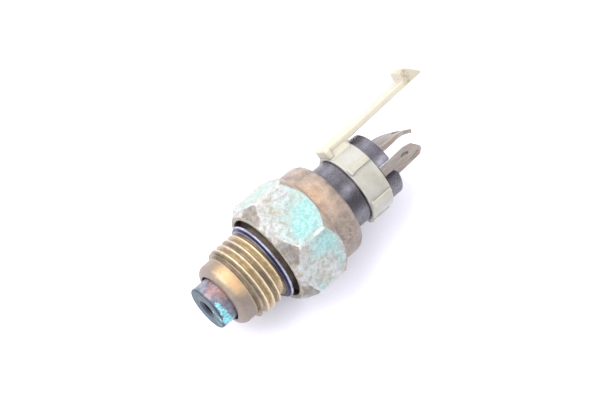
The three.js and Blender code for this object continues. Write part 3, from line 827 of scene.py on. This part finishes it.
def sealing_washer():
    """The folded crush washer: two leaves in front, and a rim where they roll over at the back."""
    front, rear = node_span("sealing_washer")
    outline = rounded([
        (front + 0.12, 7.36, 0.1, 0.15), (front, 7.55, 0.1, 0.15), (front, 8.02, 0.1, 0.15),
        (front + 0.2, 8.1, 0.05, 0.15), (front + 0.42, 8.0, 0.1, 0.15),
        (front + 0.5, 8.45, 0.08, 0.15), (front + 0.62, 8.7, 0.16, 0.12),
        (rear - 0.05, 8.7, 0.25, 0.15), (rear, 7.36, 0.2, 0.3),
    ])
    washer = piece("crush_washer", spin(outline, FINE_TURN), "sealing_washer", WASHER,
                   ["sealing_washer"])
    points = points_of(washer)
    s, r, psi = polar(points)
    # painted highlight on the rim, and on the front leaves fading toward the lower right
    rim = smooth(r, 8.5, 8.62)
    leaf = 0.55 * (s < front + 0.16) * (1 - 0.7 * smooth(psi, 0, 40))
    scuffs = 0.8 + 0.5 * fractal(points, 2.0, 4)
    paint(washer, bright=(rim + leaf) * scuffs)
    push(washer, 0.02 * fractal(points, 1.5, 3, 4.0) - 0.01)


def plunger_outline():
    """Half section: countersunk hole in the face, O-ring groove, flange, and the stem behind it."""
    groove_s, groove_end_s, groove_r = 5.7, 7.2, 3.85
    flange_s, flange_end_s = 8.9, 10.1
    return rounded([
        (1.7, 0, 0, 0.3), (1.6, 1.35, 0.1, 0.3), (0.62, 1.4, 0.12, 0.3), (0.02, 2.15, 0.18, 0.25),
        (0.0, PLUNGER_R, 0.32, 0.25), (groove_s, PLUNGER_R, 0.05, 0.5),
        (groove_s, groove_r, 0.05, 0.5), (groove_end_s, groove_r, 0.05, 0.5),
        (groove_end_s, PLUNGER_R, 0.05, 0.8), (flange_s, PLUNGER_R, 0, 1),
        (flange_s, PLUNGER_FLANGE_R, 0.1, 1), (flange_end_s, PLUNGER_FLANGE_R, 0.1, 2),
        (flange_end_s, PLUNGER_STEM_R, 0, 4), (PLUNGER_END_S, PLUNGER_STEM_R, 0.2, 1),
        (PLUNGER_END_S, 0, 0, 1),
    ], closed=False)


def plunger():
    shell = spin(plunger_outline(), FINE_TURN)
    pin = piece("plunger_pin", shell, "plunger", STEEL, ["plunger"])
    points = points_of(pin)
    s, r, psi = polar(points)
    grain = fractal(points, 1.4, 4, 2.0)
    side = smooth(r, 4.4, 4.7) * (s < 4)
    rust = side * patches(
        s, psi, (1.5, 3.0, 0, 1.0, 30), (0.5, 1.2, -6, 1.0, 18), (0.3, 2.8, 60, 1.2, 22))
    rust += (r < 3.2) * patches(s, psi, (0.35, 0.0, -40, 1.0, 40))
    verdigris = side * patches(
        s, psi, (1.0, 1.0, 30, 0.6, 12), (1.0, 1.3, 52, 0.8, 10), (0.9, 1.2, 78, 1.0, 15),
        (0.55, 2.2, 96, 1.2, 16))
    verdigris += 0.28 * smooth(grain, 0.1, 0.6) + (1 - side) * patches(s, psi, (0.3, 0, 60, 1, 60))
    # painted shade in the face's hole and where the pin enters the bore
    dirt = smooth(s, 0.05, 0.5) * (r < 2.15) + 0.8 * smooth(s, 3.3, 4.0) * (r > 3)
    paint(pin, rust=rust, verdigris=verdigris, dirt=dirt, teal=(s < 0.4) * (r > 1.2))
    crust = 0.1 * side * smooth(verdigris, 0.4, 0.8)
    lathe_marks = 0.008 * np.sin(r * 18) * (s < 0.2)
    push(pin, crust + lathe_marks + 0.03 * grain * (s < 5) - 0.03)


# ---- Black head ----

def arc_wall(outline, psi_from, psi_to):
    """A curved wall: a closed (s, r) outline swept through part of a turn, pinched at both ends."""
    step = 1.5
    stations = int((psi_to - psi_from) / step)
    middle = outline.mean(0)
    pinches = [0.14, 0.04, 0.0]  # how far each section from the end shrinks toward its middle
    verts = []
    for i, psi in enumerate(np.radians(np.linspace(psi_from, psi_to, stations + 1))):
        pinch = pinches[min(i, stations - i, 2)]
        for s, r in outline + (middle - outline) * pinch:
            verts.append((s, -r * math.sin(psi), r * math.cos(psi)))
    return np.array(verts), strip_faces(stations + 1, len(outline))


def head_barrel():
    """The head's turned shape: a flange under the crimp, the barrel, and its sunken face."""
    flange_s, flange_r, sleeve_s, rim_s, ring_seat_s = 28.9, 9.2, 32.0, 43.3, RING_S0 - 0.1
    return spin(rounded([
        (flange_s, 0, 0, 3), (flange_s, flange_r, 0.1, 1), (30.8, flange_r, 0.6, 0.5),
        (sleeve_s, 8.0, 0.6, 0.4), (sleeve_s, HEAD_R, 0.05, 0.3), (ring_seat_s, HEAD_R, 0.2, 0.3),
        (ring_seat_s, RING_SEAT_R, 0.05, 0.4), (rim_s, RING_SEAT_R, 0.2, 0.4),
        (rim_s, WALL_INSIDE_R, 0.1, 0.4), (HEAD_FACE_S, WALL_INSIDE_R, 0.25, 0.6),
        (HEAD_FACE_S, 0, 0, 0.8),
    ], closed=False), FINE_TURN)


def head_walls():
    """The two curved walls round the head's face, with a slot between them on each side."""
    foot_s, wall_r, lip_r, first_psi, span = HEAD_FACE_S + 0.4, 6.9, 7.2, 50.5, 155
    outline = rounded([
        (foot_s, WALL_INSIDE_R, 0, 0.4), (HEAD_END, WALL_INSIDE_R, 0.25, 0.4),
        (HEAD_END, lip_r, 0.4, 0.3), (RING_S1 + 0.15, lip_r, 0.1, 0.4),
        (RING_S1 + 0.1, wall_r, 0.1, 0.4), (foot_s, wall_r, 0, 0.4),
    ])
    return [arc_wall(outline, psi, psi + span) for psi in (first_psi, first_psi + 180)]


def terminal_head():
    shell = merge(head_barrel(), *head_walls())
    head = piece("terminal_head", shell, "housing", PHENOLIC, ["terminal_base"])
    points = points_of(head)
    _, r, psi = polar(points)
    # painted sheen: lighter underneath as painted bounce light, and three bands of painted highlight
    # round the barrel
    rubbed = 0.25 * smooth(angle_between(psi, 180) ** 2, 90 ** 2, 50 ** 2)
    for strength, centre, width in ((0.5, -22, 30), (0.85, 19, 9), (0.55, 72, 15)):
        rubbed += strength * np.exp(-(angle_between(psi, centre) / width) ** 2)
    wear = 0.85 + 0.3 * fractal(points, 2.0, 4)
    paint(head, rubbed=rubbed * wear * smooth(r, 6.4, 6.7))
    push(head, 0.02 * fractal(points, 2.5, 3, 9.0))


# ---- Blades ----

def blade_blank(tip_s, taper_length, taper_depth):
    """A flat strip along the axis as a grid of faces, narrowed on both sides toward its tip."""
    across, along = 12, 72
    strip = bmesh.new()
    layers = []
    for y in (-BLADE_THICKNESS / 2, BLADE_THICKNESS / 2):
        rows = []
        for i in range(along + 1):
            s = BLADE_FOOT_S + (tip_s - BLADE_FOOT_S) * i / along
            width = BLADE_HALF - max(0.0, 1 - (tip_s - s) / taper_length) * taper_depth
            rows.append([
                strip.verts.new((s, y, width * (2 * j / across - 1))) for j in range(across + 1)
            ])
        layers.append(rows)
    low, high = layers
    for i in range(along):
        for j in range(across):
            strip.faces.new((low[i][j], low[i + 1][j], low[i + 1][j + 1], low[i][j + 1]))
            strip.faces.new((high[i][j], high[i][j + 1], high[i + 1][j + 1], high[i + 1][j]))
        for j in (0, across):
            strip.faces.new((low[i][j], high[i][j], high[i + 1][j], low[i + 1][j]))
    for i in (0, along):
        for j in range(across):
            strip.faces.new((low[i][j], high[i][j], high[i][j + 1], low[i][j + 1]))
    bmesh.ops.recalc_face_normals(strip, faces=strip.faces)
    return bmesh_object("blank", strip)


def drill_bit(hole_s):
    """A cylinder across the blade where its detent hole goes."""
    bit = bmesh.new()
    bmesh.ops.create_cone(
        bit, cap_ends=True, segments=32, radius1=BLADE_HOLE_R, radius2=BLADE_HOLE_R, depth=3,
        matrix=Matrix.Translation((hole_s, 0, 0)) @ Matrix.Rotation(math.pi / 2, 4, "X"))
    return bmesh_object("drill", bit)


def blade_solid(tip_s, taper_length, taper_depth, bend):
    """Vertices and faces of a stamped blade: tapered tip, detent hole, rolled edges, then bent."""
    blank = blade_blank(tip_s, taper_length, taper_depth)
    drill = drill_bit(tip_s - HOLE_FROM_TIP)
    hole = blank.modifiers.new("hole", "BOOLEAN")
    hole.operation, hole.object, hole.solver = "DIFFERENCE", drill, "EXACT"
    edges = blank.modifiers.new("edges", "BEVEL")
    edges.width, edges.segments, edges.limit_method = 0.13, 3, "ANGLE"
    edges.angle_limit = math.radians(50)
    bpy.context.view_layer.update()
    evaluated = blank.evaluated_get(bpy.context.evaluated_depsgraph_get())
    verts = np.array([v.co[:] for v in evaluated.data.vertices])
    faces = [tuple(p.vertices) for p in evaluated.data.polygons]
    bpy.data.objects.remove(blank)
    bpy.data.objects.remove(drill)
    return bend(verts), faces


def bent(start, length, degrees, twist=0):
    """A function that bends and twists a strip toward the axis, evenly over a length from start."""
    def bend(verts):
        s, y, z = verts.T
        along = np.maximum(s - start, 0)
        share = np.minimum(along / length, 1)
        turn, angle = np.radians(twist) * share, np.radians(degrees) * share
        y, z = y * np.cos(turn) - z * np.sin(turn), y * np.sin(turn) + z * np.cos(turn)
        fine = np.linspace(0, length, 200)
        slope = np.radians(degrees) * fine[1:] / length
        run, drop = (
            np.interp(along, fine, np.append(0, np.cumsum(step(slope)) * fine[1]))
            for step in (np.cos, np.sin))
        return np.stack([
            np.where(along > 0, start + run + y * np.sin(angle), s),
            BLADE_OFFSET + y * np.cos(angle) - drop, z,
        ], 1)
    return bend


def blade(name, node, solid, side):
    """One blade on its round foot. Side 1 puts it at the angle BLADE_PSI, and -1 half a turn on."""
    front_s, rear_s, foot_r, foot_offset = 27.9, 28.8, 1.9, 4.6
    foot_verts, foot_faces = spin(rounded([
        (front_s, 0, 0, 1), (front_s, foot_r, 0.1, 1), (rear_s, foot_r, 0.1, 1), (rear_s, 0, 0, 1),
    ], closed=False), 48)
    verts, faces = merge(solid, (foot_verts + [0, foot_offset, 0], foot_faces))
    shell = turned((verts * [1, side, side], faces), BLADE_PSI)
    obj = piece(name, shell, "housing", TERMINAL, [node], 40)
    push(obj, 0.012 * fractal(points_of(obj), 1.2, 3, 6.0))


def blades():
    """The near blade bows a little toward the axis. The far one was knocked over and twisted."""
    near = blade_solid(
        tip_s=55.0, taper_length=1.5, taper_depth=1.3, bend=bent(start=46.6, length=8.4, degrees=6))
    far = blade_solid(
        tip_s=55.7, taper_length=6.0, taper_depth=2.1,
        bend=bent(start=48.6, length=7.1, degrees=34, twist=-12))
    blade("near_blade", "terminal_near", near, -1)
    blade("far_blade", "terminal_far", far, 1)


# ---- Latch ring and arm ----

def bar(sections):
    """A bar through (s, [(y, z), ...]) sections with equal point counts, closed at both ends."""
    verts = [(s, y, z) for s, section in sections for y, z in section]
    return np.array(verts), strip_faces(len(sections), len(sections[0][1]))


def soft_rectangle(half_width, low, high, radius):
    """Section outline with rounded corners: width along y, low to high along z."""
    steps = 5
    radius = min(radius, half_width * 0.98, (high - low) / 2 * 0.98)
    points = []
    for cy, cz, start in (
        (half_width - radius, high - radius, 0), (-half_width + radius, high - radius, 90),
        (-half_width + radius, low + radius, 180), (half_width - radius, low + radius, 270),
    ):
        for k in range(steps + 1):
            a = math.radians(start + 90 * k / steps)
            points.append((cy + radius * math.cos(a), cz + radius * math.sin(a)))
    return points


def end_pinch(s, first, last, length):
    """1 at either end of a bar, falling to 0 over a length from it."""
    return max(0.0, 1 - min(s - first, last - s) / length) ** 2


def rib(psi):
    """A raised rib along the ring, with a small curled hook at its lower end."""
    first, last = RING_S0 + 0.1, RING_S1 - 0.1
    stations = []
    for s in np.linspace(first, last, 24):
        drop = 0.25 * end_pinch(s, first, last, 0.35)
        hook = 0.28 * math.exp(-((s - RING_S0 - 0.55) / 0.4) ** 2)
        top = 8.36 - drop + hook * 0.6
        stations.append((s, soft_rectangle(0.66 - drop * 0.6 + hook, 7.6, top, 0.2)))
    return turned(bar(stations), psi)


def arm_inside(s):
    """The radius of the arm's inner face, which leans outward toward the tip."""
    return ARM_INSIDE_R + (s - ARM_S0) * ARM_RISE / (ARM_S1 - ARM_S0)


def barb_height(s):
    """How far the barb stands above the arm: a steep front, a flat top, then a long ramp down."""
    if s <= BARB_S:
        return 0.0
    ramp = max(0.0, (s - BARB_S - BARB_FLAT) / (ARM_S1 - BARB_S - BARB_FLAT))
    return BARB_HEIGHT * smooth(s, BARB_S, BARB_S + 0.35) - (BARB_HEIGHT + 0.9) * ramp ** 1.15


def arm_bar():
    """The latch arm, from the ring's lower edge to the barb at its tip."""
    stations = []
    for s in np.concatenate([
        np.linspace(RING_S0, 59.0, 70), np.linspace(59.2, BARB_S, 4),
        np.linspace(BARB_S + 0.02, BARB_S + 0.4, 7), np.linspace(60.1, ARM_S1, 28),
    ]):
        inside = arm_inside(max(s, ARM_S0))
        outside = inside + ARM_THICKNESS + barb_height(s)
        sink = 0.45 if s < ARM_S0 else 0  # the foot goes down into the ring
        pinch = 0.22 * end_pinch(s, RING_S0, ARM_S1, 0.3)
        stations.append((s, soft_rectangle(
            ARM_HALF_WIDTH - pinch, inside - sink + pinch, float(outside) - pinch, 0.28)))
    return bar(stations)


def arm_boss():
    """A small rounded arch beside the arm's lower end."""
    length = 1.5
    stations = []
    for s in np.linspace(RING_S0, RING_S0 + length, 14):
        swell = math.sqrt(max(0.0, 1 - ((s - RING_S0 - length / 2) / 0.76) ** 2))
        stations.append((s, soft_rectangle(1.0 * swell + 0.15, 7.5, 8.2 + 1.55 * swell, 0.35)))
    verts, faces = bar(stations)
    return verts + [0, -2.0, 0], faces


def arm_root():
    """The sloping sides that join the arm's foot to the ring."""
    first, last = RING_S0 + 0.15, RING_S1 - 0.1
    stations = []
    for s in np.linspace(first, last, 12):
        sink = 0.5 * end_pinch(s, first, last, 0.5)
        stations.append((s, [
            (3.4 - sink, 7.12), (2.9, 7.75 - sink), (2.1, 8.8 - sink), (-2.1, 8.8 - sink),
            (-2.9, 7.75 - sink), (-3.4 + sink, 7.12), (0, 7.5),
        ]))
    return bar(stations)


def latch_clip():
    """The nylon ring with its five ribs and its long arm, as one piece."""
    band = spin(rounded([
        (RING_S0, RING_INSIDE_R, 0.1, 0.4), (RING_S0, RING_R, 0.16, 0.3),
        (RING_S1, RING_R, 0.16, 0.3), (RING_S1, RING_INSIDE_R, 0.1, 0.4),
    ]), FINE_TURN)
    ribs = [rib(3 + 60 * k) for k in range(5)]
    arm = turned(merge(arm_bar(), arm_boss(), arm_root()), ARM_PSI)
    shell = merge(band, *ribs, arm)
    clip = piece("latch_clip", shell, None, NYLON, ["latch_ring", "latch_arm"])
    points = points_of(clip)
    s, r, psi = polar(points)
    off_arm = angle_between(psi, ARM_PSI)
    on_arm = (np.abs(off_arm) < 30) * smooth(r, 8.0, 8.5)
    thick = on_arm * (0.5 * (1 - smooth(s, 42, 48)) + 0.2) + 0.3 * smooth(r, 8.0, 8.4)
    thick += patches(s, psi, (0.4, 61.5, ARM_PSI, 1.6, 30))
    across = r * np.sin(np.radians(off_arm))
    # painted glow on the arm's side face, fading toward the barb
    clear = on_arm * (across > ARM_HALF_WIDTH - 0.12) * (1 - 0.6 * smooth(s, 58.5, 60))
    # a painted shadow by the barb, and dirt mottling toward the tip
    dirt = patches(s, psi, (0.9, 60.6, ARM_PSI + 9, 0.7, 7))
    dirt += 0.3 * smooth(fractal(points, 3.0, 4, 8.0), 0.3, 0.8) * (s > 45)
    paint(clip, thick=thick, clear=clear, dirt=dirt)
    push(clip, 0.025 * fractal(points, 2.2, 3, 12.0) - 0.01)
    return clip


# ---- Return spring ----

def return_spring():
    """The coil behind the plunger's flange."""
    low, high = node_span("return_spring")
    turns, steps, sides, wire, mean = 5.5, 48, 14, 0.45, 4.3
    stations = int(turns * steps)
    verts = []
    for i in range(stations + 1):
        angle = 2 * math.pi * turns * i / stations
        centre_s = low + wire + (high - low - 2 * wire) * i / stations
        for j in range(sides):
            a = 2 * math.pi * j / sides
            r = mean + wire * math.cos(a)
            verts.append((centre_s + wire * math.sin(a), -r * math.sin(angle), r * math.cos(angle)))
    shell = np.array(verts), strip_faces(stations + 1, sides)
    spring = piece("return_coil", shell, "housing", SPRING, ["return_spring"])
    tuple(to_row([[high, 0, 0]])[0])
    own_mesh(spring)


def blend_latch(clip):
    """Reads the latch arm's joint, and bakes the latch clip's placement into its mesh."""
    arm_joint = next(j for j in frame["joints"] if j["name"] == "latch_arm_flex")
    root = Vector(arm_joint["pos_m"])
    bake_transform(clip)


# ---- Floor, light and camera ----

def add_floor():
    """A wide pale sheet under the part, with the faint tooth of card."""
    grid = bmesh.new()
    bmesh.ops.create_grid(grid, x_segments=8, y_segments=8, size=2.0)
    floor = bmesh_object("floor", grid)
    floor.location.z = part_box("brass_body")[0].z - 0.0001
    sh = Shader("white_card")
    tooth = sh.noise(0.6, 3, 0.55)
    card = sh.ramp(tooth, (0.3, srgb(246, 245, 252, 1.0)), (0.7, srgb(249, 248, 254, 1.0)))
    sh.base(Base_Color=card, Roughness=0.8)
    sh.bump(tooth, 0.01)
    floor.data.materials.append(sh.material)


def stand_off(obj, target, direction, distance):
    """Puts a light or camera that far from its target and turns it to face it."""
    obj.location = target + direction * distance
    obj.rotation_euler = direction.to_track_quat("Z", "Y").to_euler()


def add_area(name, toward, distance, size, power, colour):
    """A square soft box that shines on the part from a direction."""
    light = bpy.data.lights.new(name, "AREA")
    light.shape, light.size, light.energy, light.color = "SQUARE", size, power, colour
    stand_off(new_object(name, light), Vector((0, 0, AXIS_Z)), Vector(toward).normalized(), distance)


def add_world():
    """Even pale light from all round."""
    world = bpy.data.worlds.new("studio")
    world.use_nodes = True
    background = world.node_tree.nodes["Background"]
    background.inputs["Color"].default_value = (0.93, 0.94, 1.0, 1)
    background.inputs["Strength"].default_value = 1.35
    bpy.context.scene.world = world


def add_camera():
    """A long lens aimed at a point beside the part's middle."""
    azimuth, elevation, distance = math.radians(-43.3), math.radians(64.7), 0.4939
    aim = Vector((-0.0028, 0.0047, AXIS_Z))
    back = Vector((
        math.sin(azimuth) * math.cos(elevation), -math.cos(azimuth) * math.cos(elevation),
        math.sin(elevation)))
    data = bpy.data.cameras.new("camera")
    data.lens, data.sensor_width, data.clip_start = 150, 36, 0.01
    camera = new_object("camera", data)
    stand_off(camera, aim, back, distance)
    bpy.context.scene.camera = camera


dress_inner_nodes()
brass_body()
sealing_washer()
plunger()
terminal_head()
blades()
clip = latch_clip()
return_spring()
blend_latch(clip)

add_floor()
add_world()
add_area("key", toward=(-0.35, 0.50, 0.79), distance=0.8, size=0.8, power=8.0,
         colour=(1.0, 0.985, 0.96))
add_area("fill", toward=(-0.6, -0.5, 0.6), distance=0.9, size=0.8, power=0.6,
         colour=(0.96, 0.97, 1.0))
add_camera()
bpy.context.scene.view_settings.view_transform = "Standard"
